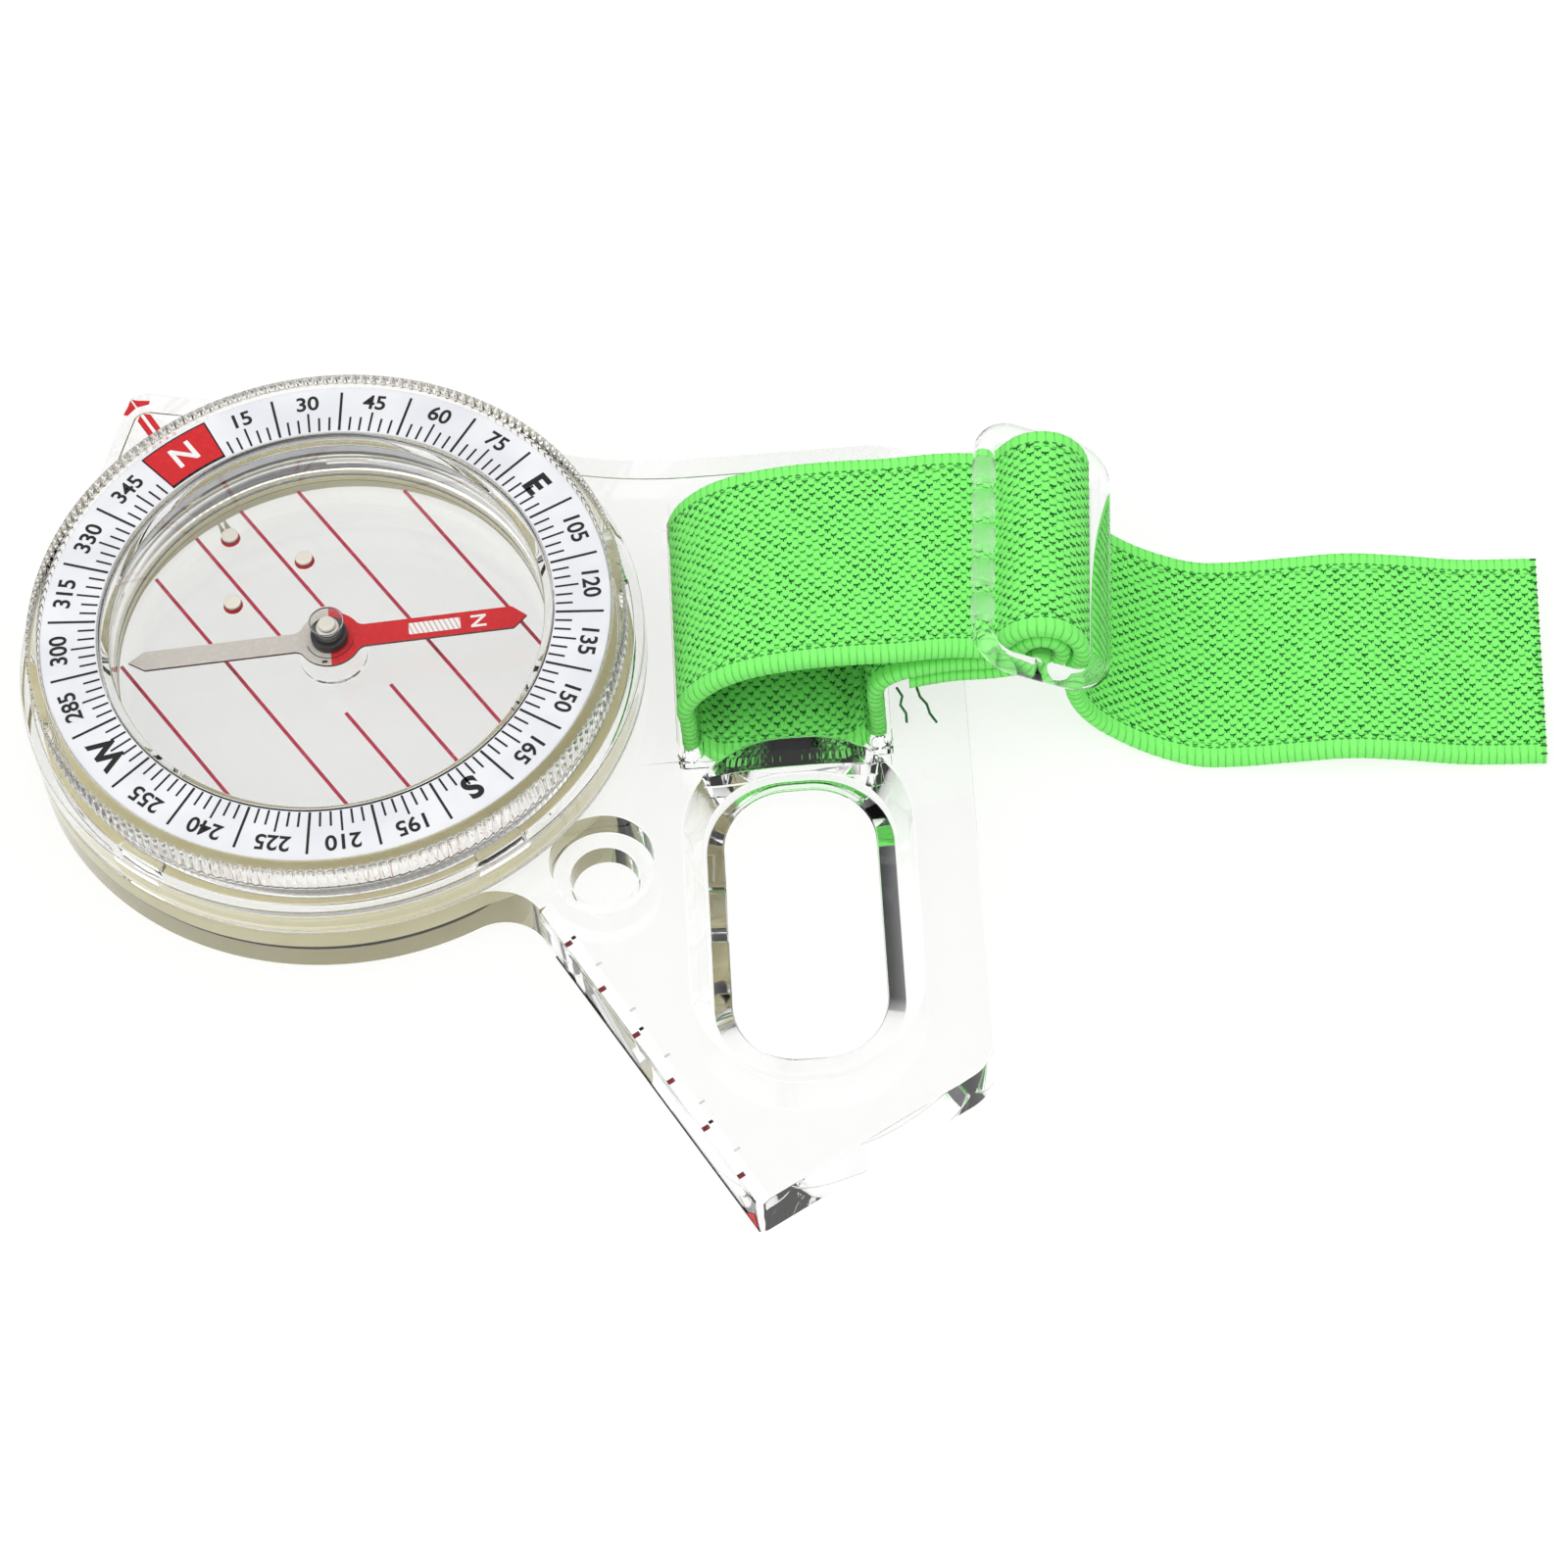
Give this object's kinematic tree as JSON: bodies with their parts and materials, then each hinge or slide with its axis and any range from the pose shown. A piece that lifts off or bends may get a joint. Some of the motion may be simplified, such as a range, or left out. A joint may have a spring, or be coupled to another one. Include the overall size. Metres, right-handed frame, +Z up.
{
  "type": "thumb compass",
  "caption": "Clear thumb compass: turning liquid capsule with needle and degree dial, ruler edge, finger window, and a green elastic strap with a clear sliding buckle.",
  "frame": {"origin": "on the dial's axis, at the plate's underside", "axes": "+Z up through the dial; +X along the strap, away from the dial; the direction of travel points to 120 degrees from +X"},
  "size_m": [0.1237, 0.0817, 0.0153],
  "materials": {
    "clear_acrylic": "polished, clear",
    "luminous_plastic": "matte, glows in the dark",
    "dial_plastic": "satin, printed in black",
    "elastic": "knitted elastic webbing",
    "steel": "ground",
    "needle_paint": "north half red, south half white",
    "magnet": "matte black"
  },
  "bodies": {
    "plate": {"baseplate": "clear_acrylic", "luminous_ring": "luminous_plastic", "bezel_collar": "clear_acrylic", "strap_under_run": "elastic", "strap_thumb_arch": "elastic", "strap_anchor_loop": "elastic", "strap_free_end": "elastic"},
    "bezel": {"bezel": "clear_acrylic", "dial_ring": "dial_plastic", "capsule_cup": "clear_acrylic", "capsule_lid": "clear_acrylic", "pivot_pin": "steel", "filler_plug": "clear_acrylic", "luminous_dot_1": "luminous_plastic", "luminous_dot_2": "luminous_plastic", "luminous_dot_3": "luminous_plastic"},
    "needle": {"needle_blade": "needle_paint", "needle_magnet": "magnet", "jewel_cap": "clear_acrylic"},
    "buckle": {"buckle": "clear_acrylic"}
  },
  "joints": [
    {"name": "bezel_turn", "type": "hinge", "parent": "plate", "child": "bezel", "pos_m": [0, 0, 0.0085], "axis": [0, 0, 1], "continuous": true},
    {"name": "needle_swing", "type": "hinge", "parent": "bezel", "child": "needle", "pos_m": [0, 0, 0.0085], "axis": [0, 0, 1], "continuous": true},
    {"name": "buckle_rock", "type": "hinge", "parent": "plate", "child": "buckle", "pos_m": [0.0577, 0.001, 0.0115], "axis": [0.0785, 0.9969, 0], "range_deg": [-6, 6]}
  ]
}
